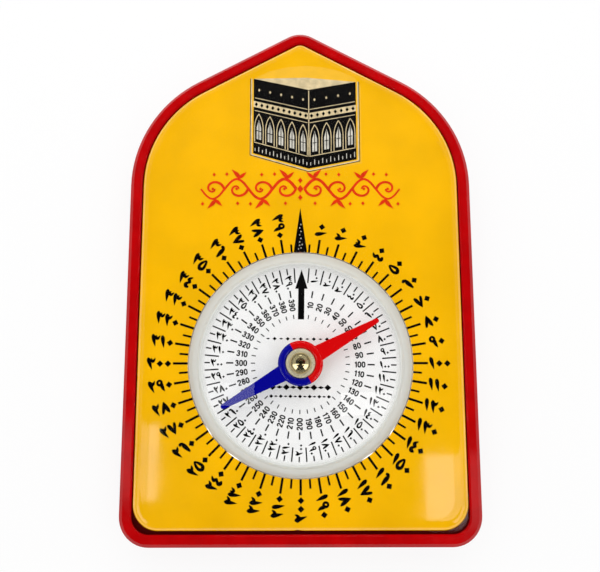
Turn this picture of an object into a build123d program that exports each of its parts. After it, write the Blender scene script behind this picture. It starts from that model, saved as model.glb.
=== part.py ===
from build123d import *

import math
import os

# A hand-held qibla compass in an arched case. Sizes are in millimetres. Z is the needle's axis and is
# zero on the underside, and the apex of the case points along +Y.

# Case outline
CASE_WIDTH = 60.0
CASE_LENGTH = 90.0
DIAL_TO_FOOT = 30.0  # needle axis to the straight bottom edge
ROOF_ANGLE = 28.2  # slope of the two roof edges, in degrees
SHOULDER_RADIUS = 22.0
CORNER_RADIUS = 5.0
APEX_RADIUS = 4.5
LEAST_RADIUS = 0.3

# Tray
FLOOR_THICKNESS = 2.5
WALL_THICKNESS = 3.7  # below the ledge
LEDGE_HEIGHT = 6.5
RIM_WIDTH = 2.1
LIP_THICKNESS = 0.8
LIP_OVERHANG = 0.3
RIM_BEVEL = 0.65
LIP_BEVEL = 0.25
FOOT_BEVEL = 0.6
RIB_THICKNESS = 1.2
RING_WALL = 1.2
CROSS_RIB_Y = 42.0

# Card and clear cover
CARD_THICKNESS = 0.4
CARD_MARGIN = 0.3  # card edge inside the cover's wall
COVER_GAP = 0.55  # open groove between the rim and the cover
COVER_THICKNESS = 3.5
COVER_EDGE_RADIUS = 1.65
COVER_CORNER_RADIUS = 4.2
EDGE_LIMIT = 0.9  # most of the apex radius that the cover's edge may take
FLANGE_THICKNESS = 0.6
PORT_BEVEL = 0.15

# Capsule: tape, cup, dial and crystal
TAPE_THICKNESS = 0.5
TAPE_SIZE = 24.0
CUP_FLOOR = 1.0
CUP_WALL = 0.6
CUP_DEPTH = 3.0
CRYSTAL_RADIUS = 18.7
CRYSTAL_WALL = 0.75
CRYSTAL_THICKNESS = 1.6  # at the crown
CRYSTAL_LAP = 1.0  # length of the crystal's skirt over the cup's spigot
BEVEL_WIDTH = 1.6
BEVEL_DROP = 1.5
BEVEL_STEP = 0.3  # the inner bevel starts this far inside the outer one
DOME_RISE = 0.75  # crown above the bevel's inner edge
HEADROOM = 0.8  # cap to crystal
DIAL_THICKNESS = 0.3
BOSS_RADIUS = 1.8
BOSS_HEIGHT = 1.2

# Needle and its bearing
NEEDLE_LENGTH = 30.0
NEEDLE_THICKNESS = 0.4
NEEDLE_LIFT = 3.0  # dial face to the needle's underside
NEEDLE_HEADING = 61.0  # clockwise from the apex, in degrees
NEEDLE_EDGE = 0.1
ARM_ROOT_RADIUS = 1.65
ARM_TIP_RADIUS = 0.6
EYE_RADIUS = 3.75
BEAD_MARGIN = 0.35
BEAD_HEIGHT = 0.15
COLLAR_RADIUS = 2.4
COLLAR_STAND = 0.35  # above the needle's top
COLLAR_BEVEL = 0.15
FLANGE_RADIUS = 3.2
COLLAR_FLANGE = 0.4
CAP_RADIUS = 1.75
CAP_RISE = 1.5
CROWN_THICKNESS = 0.8
PIN_RADIUS = 0.5
PIN_POINT = 1.2
PIN_NOSE_RADIUS = 0.05
PIN_GRIP = 1.6  # length pressed into the cup's boss

# Clearances
SNAP_GAP = 0.1
CARD_GAP = 0.1
CARD_HOLE_GAP = 0.2
PORT_GAP = 0.25
CUP_GAP = 0.15
FIT_GAP = 0.05
DIAL_GAP = 0.1
EYE_GAP = 0.08
PRESS_GAP = 0.02
BORE_GAP = 0.3
POINT_GAP = 0.05
CUT_OVER = 1.0  # how far a cut runs past the face it opens

# Insets from the case outline
GROOVE_INSET = RIM_WIDTH - LIP_OVERHANG
FLANGE_INSET = GROOVE_INSET + SNAP_GAP
COVER_INSET = RIM_WIDTH + COVER_GAP
CARD_INSET = COVER_INSET + CARD_MARGIN
RECESS_INSET = CARD_INSET - CARD_GAP
CARD_CORNER_RADIUS = max(COVER_CORNER_RADIUS - CARD_MARGIN, LEAST_RADIUS)
RECESS_CORNER_RADIUS = CARD_CORNER_RADIUS + CARD_GAP

# Heights
LIP_UNDERSIDE = LEDGE_HEIGHT + FLANGE_THICKNESS + SNAP_GAP
RIM_TOP = LIP_UNDERSIDE + LIP_THICKNESS
CARD_TOP = LEDGE_HEIGHT + CARD_THICKNESS
COVER_TOP = CARD_TOP + COVER_THICKNESS
CUP_BASE = FLOOR_THICKNESS + TAPE_THICKNESS
DIAL_SEAT = CUP_BASE + CUP_FLOOR
DIAL_TOP = DIAL_SEAT + DIAL_THICKNESS
CUP_RIM = DIAL_SEAT + CUP_DEPTH
CRYSTAL_SEAT = CUP_RIM - CRYSTAL_LAP
BOSS_TOP = DIAL_SEAT + BOSS_HEIGHT
NEEDLE_UNDERSIDE = DIAL_TOP + NEEDLE_LIFT
NEEDLE_TOP = NEEDLE_UNDERSIDE + NEEDLE_THICKNESS
COLLAR_BASE = NEEDLE_UNDERSIDE - COLLAR_FLANGE
COLLAR_TOP = NEEDLE_TOP + COLLAR_STAND
CAP_TOP = COLLAR_TOP + CAP_RISE
BEARING_APEX = CAP_TOP - CROWN_THICKNESS
PIN_TIP = BEARING_APEX - POINT_GAP
PIN_FOOT = BOSS_TOP - PIN_GRIP
CRYSTAL_TOP = CAP_TOP + HEADROOM + CRYSTAL_THICKNESS

# Radii about the needle's axis
CRYSTAL_BORE = CRYSTAL_RADIUS - CRYSTAL_WALL
SPIGOT_RADIUS = CRYSTAL_BORE - FIT_GAP
CUP_BORE = SPIGOT_RADIUS - CUP_WALL
DIAL_RADIUS = CUP_BORE - DIAL_GAP
RING_BORE = CRYSTAL_RADIUS + CUP_GAP
CARD_HOLE_RADIUS = CRYSTAL_RADIUS + CARD_HOLE_GAP
PORT_RADIUS = CRYSTAL_RADIUS + PORT_GAP
PIN_HOLE_RADIUS = PIN_RADIUS + PRESS_GAP
EYE_HOLE_RADIUS = COLLAR_RADIUS + EYE_GAP
COLLAR_BORE = CAP_RADIUS + PRESS_GAP
BEARING_BORE = PIN_RADIUS + BORE_GAP


def case_outline(inset, corner_radius):
    """The arched outline as a face, moved inwards by inset."""
    roof = math.radians(ROOF_ANGLE)
    half = CASE_WIDTH / 2 - inset
    foot = inset - DIAL_TO_FOOT
    sharp_apex = CASE_LENGTH - DIAL_TO_FOOT + APEX_RADIUS * (1 / math.cos(roof) - 1)
    ridge = sharp_apex - inset / math.cos(roof)
    eaves = ridge - half * math.tan(roof)
    points = [(-half, foot), (half, foot), (half, eaves), (0, ridge), (-half, eaves)]
    shoulder = max(SHOULDER_RADIUS - inset, LEAST_RADIUS)
    apex = max(APEX_RADIUS - inset, LEAST_RADIUS)
    radii = [corner_radius, corner_radius, shoulder, apex, shoulder]
    return make_face(FilletPolyline(*points, radius=radii, close=True))


def arched_slab(inset, bottom, top, corner_radius=None):
    """A plate of the case outline between two heights, its corners concentric unless given."""
    if corner_radius is None:
        corner_radius = max(CORNER_RADIUS - inset, LEAST_RADIUS)
    face = Pos(0, 0, bottom) * case_outline(inset, corner_radius)
    return extrude(face, top - bottom)


def round_bar(radius, bottom, top):
    """A cylinder about the needle's axis between two heights."""
    return extrude(Pos(0, 0, bottom) * Circle(radius), top - bottom)


def turned(points):
    """A body turned about the needle's axis from its half section."""
    section = make_face(Polyline(*points, close=True))
    return revolve(Plane.XZ * section, Axis.Z)


def top_edges(solid):
    """Outer edges of the solid's highest flat face."""
    return solid.faces().sort_by(Axis.Z)[-1].outer_wire().edges()


def bottom_edges(solid):
    """Outer edges of the solid's lowest flat face."""
    return solid.faces().sort_by(Axis.Z)[0].outer_wire().edges()


def tray_ribs():
    """Ribs that carry the card: five out from the dial, one of them up the arch, and one across it."""
    height = LEDGE_HEIGHT - FLOOR_THICKNESS
    reach = CASE_WIDTH + CASE_LENGTH
    bar = extrude(Pos(reach / 2, 0, FLOOR_THICKNESS) * Rectangle(reach, RIB_THICKNESS), height)
    ribs = [Rot(0, 0, angle) * bar for angle in (0, 90, 180, 225, 315)]
    across = Pos(0, CROSS_RIB_Y, FLOOR_THICKNESS) * Rectangle(reach, RIB_THICKNESS)
    ribs.append(extrude(across, height))
    inside = arched_slab(WALL_THICKNESS, FLOOR_THICKNESS, LEDGE_HEIGHT)
    return inside & (Part() + ribs)


def base_tray():
    """The moulded case: floor, wall, ledge, snap lip, capsule ring and ribs."""
    body = arched_slab(0, 0, RIM_TOP)
    body = chamfer(top_edges(body), RIM_BEVEL)
    body = chamfer(bottom_edges(body), FOOT_BEVEL)
    body -= arched_slab(WALL_THICKNESS, FLOOR_THICKNESS, LEDGE_HEIGHT)
    body -= arched_slab(GROOVE_INSET, LEDGE_HEIGHT, LIP_UNDERSIDE)
    body -= arched_slab(RIM_WIDTH, LIP_UNDERSIDE, RIM_TOP + CUT_OVER)
    rim_face = body.faces().sort_by(Axis.Z)[-1]
    body = chamfer(rim_face.inner_wires()[0].edges(), LIP_BEVEL)
    ring = round_bar(RING_BORE + RING_WALL, FLOOR_THICKNESS, LEDGE_HEIGHT)
    return body + tray_ribs() + ring - round_bar(RING_BORE, FLOOR_THICKNESS, LEDGE_HEIGHT + CUT_OVER)


def face_card():
    """The printed card that lies on the ledge and ribs, open round the capsule."""
    card = arched_slab(CARD_INSET, LEDGE_HEIGHT, CARD_TOP, CARD_CORNER_RADIUS)
    return card - round_bar(CARD_HOLE_RADIUS, LEDGE_HEIGHT - CUT_OVER, CARD_TOP + CUT_OVER)


def cover_plate():
    """The clear cover: a rounded plate over the card, with a foot that snaps under the tray's lip."""
    edge_radius = min(COVER_EDGE_RADIUS, EDGE_LIMIT * (APEX_RADIUS - COVER_INSET))
    plate = arched_slab(COVER_INSET, LEDGE_HEIGHT, COVER_TOP, COVER_CORNER_RADIUS)
    plate = fillet(top_edges(plate), edge_radius)
    plate += arched_slab(FLANGE_INSET, LEDGE_HEIGHT, LEDGE_HEIGHT + FLANGE_THICKNESS)
    plate -= arched_slab(RECESS_INSET, LEDGE_HEIGHT - CUT_OVER, CARD_TOP, RECESS_CORNER_RADIUS)
    plate -= round_bar(PORT_RADIUS, LEDGE_HEIGHT, COVER_TOP + CUT_OVER)
    top_face = plate.faces().sort_by(Axis.Z)[-1]
    return chamfer(top_face.inner_wires()[0].edges(), PORT_BEVEL)


def capsule_tape():
    """The square of mounting tape that sticks the capsule to the tray's floor."""
    square = Pos(0, 0, FLOOR_THICKNESS) * Rectangle(TAPE_SIZE, TAPE_SIZE)
    return extrude(square, TAPE_THICKNESS)


def capsule_cup():
    """The cup that holds the dial and the pivot pin, with a spigot for the crystal."""
    return turned(
        [
            (0, CUP_BASE),
            (CRYSTAL_RADIUS, CUP_BASE),
            (CRYSTAL_RADIUS, CRYSTAL_SEAT),
            (SPIGOT_RADIUS, CRYSTAL_SEAT),
            (SPIGOT_RADIUS, CUP_RIM),
            (CUP_BORE, CUP_RIM),
            (CUP_BORE, DIAL_SEAT),
            (BOSS_RADIUS, DIAL_SEAT),
            (BOSS_RADIUS, BOSS_TOP),
            (PIN_HOLE_RADIUS, BOSS_TOP),
            (PIN_HOLE_RADIUS, PIN_FOOT),
            (0, PIN_FOOT),
        ]
    )


def dial_disc():
    """The printed dial on the cup's floor, open round the boss."""
    disc = round_bar(DIAL_RADIUS, DIAL_SEAT, DIAL_TOP)
    return disc - round_bar(BOSS_RADIUS + DIAL_GAP, DIAL_SEAT - CUT_OVER, DIAL_TOP + CUT_OVER)


def dome_arc(radius, rim, crown):
    """Half section of a spherical dome, from its rim up to its crown on the axis."""
    rise = crown - rim
    sphere = (radius**2 + rise**2) / (2 * rise)
    middle = math.atan2(radius, sphere - rise) / 2
    half_way = (sphere * math.sin(middle), crown - sphere * (1 - math.cos(middle)))
    return ThreePointArc((radius, rim), half_way, (0, crown))


def crystal():
    """The clear cap over the dial: a domed top, flat inside, with a bevelled shoulder and a skirt."""
    dome_radius = CRYSTAL_RADIUS - BEVEL_WIDTH
    dome_rim = CRYSTAL_TOP - DOME_RISE
    ceiling = CRYSTAL_TOP - CRYSTAL_THICKNESS
    spare = DOME_RISE + CUT_OVER
    flat_radius = dome_radius - BEVEL_STEP
    inner_drop = (CRYSTAL_BORE - flat_radius) * BEVEL_DROP / BEVEL_WIDTH
    blank = turned(
        [
            (0, ceiling),
            (flat_radius, ceiling),
            (CRYSTAL_BORE, ceiling - inner_drop),
            (CRYSTAL_BORE, CRYSTAL_SEAT),
            (CRYSTAL_RADIUS, CRYSTAL_SEAT),
            (CRYSTAL_RADIUS, dome_rim - BEVEL_DROP),
            (dome_radius - spare * BEVEL_WIDTH / BEVEL_DROP, dome_rim + spare),
            (0, dome_rim + spare),
        ]
    )
    sphere_radius = (dome_radius**2 + DOME_RISE**2) / (2 * DOME_RISE)
    dome = Pos(0, 0, CRYSTAL_TOP - sphere_radius) * Rot(90, 0, 0) * Sphere(sphere_radius)
    return blank & dome


def pivot_pin():
    """The hardened pin whose point carries the needle."""
    return turned(
        [
            (0, PIN_FOOT),
            (PIN_RADIUS, PIN_FOOT),
            (PIN_RADIUS, PIN_TIP - PIN_POINT),
            (PIN_NOSE_RADIUS, PIN_TIP),
            (0, PIN_TIP),
        ]
    )


def needle():
    """The stamped needle: two tapered arms and a beaded eye, turned to its heading."""
    root = Circle(ARM_ROOT_RADIUS)
    tip = Pos(NEEDLE_LENGTH / 2 - ARM_TIP_RADIUS, 0) * Circle(ARM_TIP_RADIUS)
    arm = make_hull(root.edges() + tip.edges())
    blank = arm + Rot(0, 0, 180) * arm + Circle(EYE_RADIUS)
    strip = extrude(Pos(0, 0, NEEDLE_UNDERSIDE) * blank, NEEDLE_THICKNESS)
    strip = chamfer(top_edges(strip), NEEDLE_EDGE)
    bead_top = NEEDLE_TOP + BEAD_HEIGHT
    strip += round_bar(EYE_RADIUS - BEAD_MARGIN, NEEDLE_UNDERSIDE, bead_top)
    strip -= round_bar(EYE_HOLE_RADIUS, NEEDLE_UNDERSIDE - CUT_OVER, bead_top + CUT_OVER)
    return Rot(0, 0, 90 - NEEDLE_HEADING) * strip


def needle_collar():
    """The turned collar that carries the needle on its flange and grips the cap."""
    return turned(
        [
            (COLLAR_BORE, COLLAR_BASE),
            (FLANGE_RADIUS, COLLAR_BASE),
            (FLANGE_RADIUS, NEEDLE_UNDERSIDE),
            (COLLAR_RADIUS, NEEDLE_UNDERSIDE),
            (COLLAR_RADIUS, COLLAR_TOP - COLLAR_BEVEL),
            (COLLAR_RADIUS - COLLAR_BEVEL, COLLAR_TOP),
            (COLLAR_BORE, COLLAR_TOP),
        ]
    )


def needle_cap():
    """The domed cap with the conical bearing that rides on the pin's point."""
    skirt = Polyline(
        (0, BEARING_APEX),
        (BEARING_BORE, BEARING_APEX - BEARING_BORE),
        (BEARING_BORE, COLLAR_BASE),
        (CAP_RADIUS, COLLAR_BASE),
        (CAP_RADIUS, COLLAR_TOP),
    )
    dome = dome_arc(CAP_RADIUS, COLLAR_TOP, CAP_TOP)
    axis_line = Line((0, CAP_TOP), (0, BEARING_APEX))
    section = make_face(skirt.edges() + [dome, axis_line])
    return revolve(Plane.XZ * section, Axis.Z)


NODES = (
    base_tray,
    capsule_tape,
    capsule_cup,
    dial_disc,
    pivot_pin,
    needle,
    needle_collar,
    needle_cap,
    crystal,
    face_card,
    cover_plate,
)


def main():
    os.makedirs("parts", exist_ok=True)
    for node in NODES:
        export_step(node(), f"parts/{node.__name__}.step")


main()
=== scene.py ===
import math

import bmesh
import bpy
from bpy.props import FloatProperty, FloatVectorProperty, PointerProperty
from mathutils import Matrix, Vector


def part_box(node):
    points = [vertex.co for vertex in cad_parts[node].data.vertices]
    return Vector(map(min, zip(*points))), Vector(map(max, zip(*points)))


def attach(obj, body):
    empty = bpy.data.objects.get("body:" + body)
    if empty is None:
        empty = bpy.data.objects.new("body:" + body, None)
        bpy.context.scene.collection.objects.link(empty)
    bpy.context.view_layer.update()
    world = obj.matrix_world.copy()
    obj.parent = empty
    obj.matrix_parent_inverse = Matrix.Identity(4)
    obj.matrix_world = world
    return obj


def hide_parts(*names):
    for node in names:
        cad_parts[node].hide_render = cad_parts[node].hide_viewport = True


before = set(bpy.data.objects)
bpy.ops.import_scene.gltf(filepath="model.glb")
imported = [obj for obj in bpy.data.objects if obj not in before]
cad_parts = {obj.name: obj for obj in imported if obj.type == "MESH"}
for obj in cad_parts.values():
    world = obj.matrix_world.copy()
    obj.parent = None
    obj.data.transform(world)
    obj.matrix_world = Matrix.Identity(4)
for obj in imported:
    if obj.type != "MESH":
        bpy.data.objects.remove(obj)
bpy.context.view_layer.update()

bl_info = {
    "name": "Qibla compass dressing",
    "version": (1, 0, 0),
    "blender": (4, 5, 0),
    "location": "View3D > Sidebar > Compass",
    "description": "Prints, clear parts, finishes and a small studio round the packed compass",
    "category": "Object",
}

MM = 0.001

# The case outline, in millimetres, with the needle's axis at the origin
HALF_WIDTH = 30.0
FOOT = -30.0
APEX = 60.0
ROOF_ANGLE = math.radians(28.2)
SHOULDER_RADIUS = 22.0
APEX_RADIUS = 4.5
RUN_STEPS = 40
ARC_STEPS = 16

# The clear cover's section, in millimetres: insets from the outline, their corner radii, and heights
COVER_INSET, COVER_CORNER = 2.65, 4.2
FLANGE_INSET, FLANGE_CORNER = 1.9, 3.1
RECESS_INSET, RECESS_CORNER = 2.85, 4.0
COVER_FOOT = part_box("cover_plate")[0].z / MM
COVER_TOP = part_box("cover_plate")[1].z / MM
FLANGE_THICKNESS = 0.6
FLANGE_TOP = COVER_FOOT + FLANGE_THICKNESS
PORT_RADIUS, PORT_BEVEL = 18.72, 0.03
EDGE_STEPS = 12

# The crystal's section, in millimetres
CRYSTAL_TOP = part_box("crystal")[1].z / MM
CRYSTAL_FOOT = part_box("crystal")[0].z / MM
CRYSTAL_RADIUS, CRYSTAL_BORE = 18.7, 17.95
CRYSTAL_THICKNESS, DOME_RISE = 1.6, 0.75
BEVEL_WIDTH, BEVEL_DROP, BEVEL_STEP = 1.6, 1.5, 0.3
CRYSTAL_SIDES = 180

# The needle's plan and section, in millimetres, and its heading clockwise from the apex
NEEDLE_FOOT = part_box("needle")[0].z / MM
NEEDLE_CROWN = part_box("needle")[1].z / MM
BEAD_HEIGHT = 0.15
NEEDLE_TOP = NEEDLE_CROWN - BEAD_HEIGHT
NEEDLE_HEADING = math.radians(61)
ARM_LENGTH, ARM_ROOT, ARM_TIP = 15.0, 1.65, 0.42
EYE_RADIUS, EYE_HOLE = 3.75, 2.48
CAP_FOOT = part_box("needle_cap")[0].z / MM
CAP_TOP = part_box("needle_cap")[1].z / MM
CAP_RADIUS, CAP_DOME, CAP_CROWN, CAP_BORE = 1.75, 0.75, 0.8, 0.8

# Print levels
CARD_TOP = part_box("face_card")[1].z
DIAL_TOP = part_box("dial_disc")[1].z
UPRIGHT = Matrix.Scale(MM, 4)

# Scale marks: step and first mark in 400ths of the circle, then inner radius, outer radius and width in mm
CARD_MARKS = ((10, 10, 18.95, 21.6, 0.40), (10, 5, 18.95, 20.6, 0.34))
DIAL_MARKS = (
    (10, 5, 13.75, 16.45, 0.22),
    (10, 10, 15.20, 16.45, 0.22),
    (10, 10, 11.25, 12.45, 0.24),
    (10, 10, 7.60, 8.30, 0.16),
)
CIRCLE = 400
HALF_CIRCLE = 200
NUMBER_STEP, LAST_NUMBER = 10, 390

# Pen strokes of the eastern digits, for a digit one unit high: its width, then strokes through points of
# x, y and pen width. The first word of a stroke says whether it closes into a loop.
OPEN, LOOP = False, True
EASTERN = {
    "1": (0.42, (
        (OPEN, (0.06, 1.0, 0.1), (0.13, 0.8, 0.25), (0.22, 0.45, 0.21), (0.36, 0.0, 0.03)),
    )),
    "2": (0.56, (
        (OPEN, (0.05, 1.0, 0.08), (0.12, 0.8, 0.27), (0.22, 0.45, 0.21), (0.38, 0.0, 0.03)),
        (OPEN, (0.12, 0.74, 0.16), (0.28, 0.68, 0.22), (0.43, 0.78, 0.17), (0.54, 0.98, 0.04)),
    )),
    "3": (0.66, (
        (OPEN, (0.04, 1.0, 0.08), (0.11, 0.8, 0.26), (0.22, 0.45, 0.21), (0.4, 0.0, 0.03)),
        (OPEN, (0.12, 0.72, 0.18), (0.25, 0.68, 0.2), (0.33, 0.8, 0.14), (0.37, 0.97, 0.04)),
        (OPEN, (0.32, 0.72, 0.14), (0.46, 0.68, 0.2), (0.57, 0.78, 0.15), (0.65, 0.97, 0.04)),
    )),
    "4": (0.46, (
        (OPEN, (0.3, 1.0, 0.06), (0.15, 0.82, 0.17), (0.11, 0.67, 0.22), (0.23, 0.58, 0.2),
         (0.33, 0.53, 0.12), (0.15, 0.35, 0.18), (0.09, 0.18, 0.23), (0.22, 0.07, 0.25),
         (0.44, 0.1, 0.09)),
    )),
    "5": (0.58, (
        (LOOP, (0.25, 0.97, 0.12), (0.08, 0.6, 0.17), (0.08, 0.27, 0.19), (0.29, 0.1, 0.24),
         (0.49, 0.28, 0.2), (0.44, 0.6, 0.17)),
    )),
    "6": (0.58, (
        (OPEN, (0.02, 0.86, 0.13), (0.17, 0.95, 0.21), (0.35, 0.9, 0.14)),
        (OPEN, (0.35, 0.99, 0.08), (0.36, 0.7, 0.27), (0.44, 0.36, 0.24), (0.53, 0.0, 0.1)),
    )),
    "7": (0.66, (
        (OPEN, (0.03, 0.98, 0.1), (0.12, 0.78, 0.24), (0.24, 0.42, 0.21), (0.36, 0.0, 0.05)),
        (OPEN, (0.64, 0.95, 0.12), (0.57, 0.72, 0.19), (0.45, 0.36, 0.16), (0.36, 0.01, 0.05)),
    )),
    "8": (0.64, (
        (OPEN, (0.02, 0.02, 0.1), (0.13, 0.28, 0.2), (0.23, 0.64, 0.18), (0.3, 1.0, 0.05)),
        (OPEN, (0.3, 1.0, 0.05), (0.4, 0.66, 0.19), (0.5, 0.3, 0.24), (0.62, 0.02, 0.08)),
    )),
    "9": (0.62, (
        (LOOP, (0.25, 0.93, 0.14), (0.09, 0.82, 0.15), (0.09, 0.64, 0.16), (0.25, 0.54, 0.16),
         (0.4, 0.66, 0.17), (0.4, 0.84, 0.15)),
        (OPEN, (0.41, 0.78, 0.12), (0.42, 0.52, 0.22), (0.48, 0.26, 0.2), (0.61, 0.0, 0.04)),
    )),
}

# Centre lines of the upright western digits, for a digit one unit high, drawn with one pen
WESTERN = {
    "0": (0.62, (
        (LOOP, (0.31, 0.915), (0.13, 0.8), (0.085, 0.5), (0.13, 0.2), (0.31, 0.085), (0.49, 0.2),
         (0.535, 0.5), (0.49, 0.8)),
    )),
    "1": (0.46, (
        (OPEN, (0.33, 0.0), (0.33, 1.0)),
        (OPEN, (0.33, 0.92), (0.22, 0.8), (0.08, 0.73)),
    )),
    "2": (0.62, (
        (OPEN, (0.09, 0.69), (0.15, 0.85), (0.31, 0.915), (0.48, 0.84), (0.52, 0.68), (0.42, 0.48),
         (0.24, 0.31), (0.12, 0.08)),
        (OPEN, (0.04, 0.085), (0.57, 0.085)),
    )),
    "3": (0.62, (
        (OPEN, (0.09, 0.74), (0.17, 0.87), (0.31, 0.915), (0.47, 0.83), (0.46, 0.63), (0.24, 0.53)),
        (OPEN, (0.24, 0.53), (0.47, 0.46), (0.53, 0.29), (0.45, 0.13), (0.29, 0.085), (0.14, 0.14),
         (0.08, 0.27)),
    )),
    "4": (0.62, (
        (OPEN, (0.44, 0.0), (0.44, 1.0)),
        (OPEN, (0.43, 0.97), (0.07, 0.3)),
        (OPEN, (0.02, 0.27), (0.59, 0.27)),
    )),
    "5": (0.62, (
        (OPEN, (0.15, 0.915), (0.55, 0.915)),
        (OPEN, (0.17, 0.96), (0.12, 0.47)),
        (OPEN, (0.11, 0.49), (0.29, 0.58), (0.47, 0.51), (0.53, 0.32), (0.45, 0.14), (0.28, 0.085),
         (0.13, 0.14), (0.08, 0.26)),
    )),
    "6": (0.62, (
        (LOOP, (0.31, 0.53), (0.14, 0.44), (0.1, 0.3), (0.15, 0.16), (0.31, 0.085), (0.47, 0.16),
         (0.53, 0.31), (0.47, 0.46)),
        (OPEN, (0.52, 0.76), (0.43, 0.88), (0.31, 0.915), (0.16, 0.8), (0.1, 0.56), (0.1, 0.3)),
    )),
    "7": (0.6, (
        (OPEN, (0.04, 0.915), (0.57, 0.915)),
        (OPEN, (0.54, 0.93), (0.36, 0.52), (0.27, 0.0)),
    )),
    "8": (0.62, (
        (LOOP, (0.31, 0.915), (0.16, 0.84), (0.15, 0.65), (0.31, 0.54), (0.47, 0.65), (0.46, 0.84)),
        (LOOP, (0.31, 0.53), (0.13, 0.43), (0.1, 0.25), (0.2, 0.11), (0.31, 0.085), (0.42, 0.11),
         (0.52, 0.25), (0.49, 0.43)),
    )),
    "9": (0.62, (
        (LOOP, (0.31, 0.47), (0.48, 0.56), (0.52, 0.7), (0.47, 0.84), (0.31, 0.915), (0.15, 0.84),
         (0.09, 0.69), (0.15, 0.54)),
        (OPEN, (0.1, 0.24), (0.19, 0.12), (0.31, 0.085), (0.46, 0.2), (0.52, 0.44), (0.52, 0.7)),
    )),
}
DIGIT_MIDDLE = 0.5
CURVE_STEPS = 4
LEAST_PEN = 0.01

# Meshes: how far a point stands beside a rounded corner in mm, and the angle at which an edge stays sharp
LEAD = 0.02
SHARP_ANGLE = math.radians(35)


class CompassSizes(bpy.types.PropertyGroup):
    """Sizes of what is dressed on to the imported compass."""

    ink_thickness: FloatProperty(
        name="Ink thickness", description="Height of a print above its sheet",
        default=0.02 * MM, unit="LENGTH", precision=6)
    cover_lift: FloatProperty(
        name="Cover lift", description="Air between the card and the clear cover",
        default=0.08 * MM, unit="LENGTH", precision=6)
    cover_edge: FloatProperty(
        name="Cover edge", description="Radius of the clear cover's rounded edge",
        default=1.65 * MM, unit="LENGTH", precision=5)
    cover_foot_gap: FloatProperty(
        name="Cover foot gap", description="How much wider the groove is along the foot than at the sides",
        default=0.35 * MM, unit="LENGTH", precision=5)
    cover_roof_gap: FloatProperty(
        name="Cover roof gap", description="How much wider the groove is along the roof than at the sides",
        default=0.4 * MM, unit="LENGTH", precision=5)
    crystal_edge: FloatProperty(
        name="Crystal edge", description="Radius of the crystal's shoulder edges",
        default=0.45 * MM, unit="LENGTH", precision=5)
    needle_edge: FloatProperty(
        name="Needle edge", description="Bevel along the needle's upper edge",
        default=0.1 * MM, unit="LENGTH", precision=5)
    card_digit: FloatProperty(
        name="Card digit", description="Height of the digits on the card",
        default=2.0 * MM, unit="LENGTH", precision=5)
    dial_digit: FloatProperty(
        name="Dial digit", description="Height of the outer digits on the dial",
        default=1.24 * MM, unit="LENGTH", precision=5)
    dial_number: FloatProperty(
        name="Dial number", description="Height of the inner numbers on the dial",
        default=0.98 * MM, unit="LENGTH", precision=5)
    dial_turn: FloatProperty(
        name="Dial turn", description="How far the dial's print sits clockwise of the card's",
        default=math.radians(0.8), unit="ROTATION", subtype="ANGLE")


class CompassColours(bpy.types.PropertyGroup):
    """Colours of the finishes and inks."""

    tray: FloatVectorProperty(
        name="Tray", description="Moulded plastic of the tray",
        default=(0.46, 0.001, 0.002, 1), size=4, subtype="COLOR", min=0, max=1)
    card: FloatVectorProperty(
        name="Card", description="Printed ground of the card",
        default=(0.915, 0.475, 0.001, 1), size=4, subtype="COLOR", min=0, max=1)
    white: FloatVectorProperty(
        name="White", description="Dial and capsule",
        default=(0.91, 0.91, 0.90, 1), size=4, subtype="COLOR", min=0, max=1)
    north: FloatVectorProperty(
        name="North arm", description="Paint of the needle's north arm",
        default=(0.68, 0.001, 0.002, 1), size=4, subtype="COLOR", min=0, max=1)
    south: FloatVectorProperty(
        name="South arm", description="Paint of the needle's south arm",
        default=(0.001, 0.001, 0.27, 1), size=4, subtype="COLOR", min=0, max=1)
    brass: FloatVectorProperty(
        name="Brass", description="Turned collar",
        default=(0.74, 0.67, 0.46, 1), size=4, subtype="COLOR", min=0, max=1)
    plating: FloatVectorProperty(
        name="Plating", description="Polished cap",
        default=(0.82, 0.70, 0.38, 1), size=4, subtype="COLOR", min=0, max=1)
    black_ink: FloatVectorProperty(
        name="Black ink", description="Scales, digits and arrow",
        default=(0.001, 0.0008, 0.001, 1), size=4, subtype="COLOR", min=0, max=1)
    red_ink: FloatVectorProperty(
        name="Red ink", description="Scroll ornament",
        default=(0.72, 0.035, 0.004, 1), size=4, subtype="COLOR", min=0, max=1)
    cream_ink: FloatVectorProperty(
        name="Cream ink", description="Light lines of the picture",
        default=(0.66, 0.54, 0.32, 1), size=4, subtype="COLOR", min=0, max=1)
    pale_ink: FloatVectorProperty(
        name="Pale ink", description="Windows of the picture",
        default=(0.62, 0.60, 0.54, 1), size=4, subtype="COLOR", min=0, max=1)
    halo_ink: FloatVectorProperty(
        name="Halo ink", description="Paler ground round the picture",
        default=(0.90, 0.50, 0.03, 1), size=4, subtype="COLOR", min=0, max=1)


def sizes():
    return bpy.context.scene.compass_sizes


def colours():
    return bpy.context.scene.compass_colours


def node(name):
    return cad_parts[name]


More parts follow.
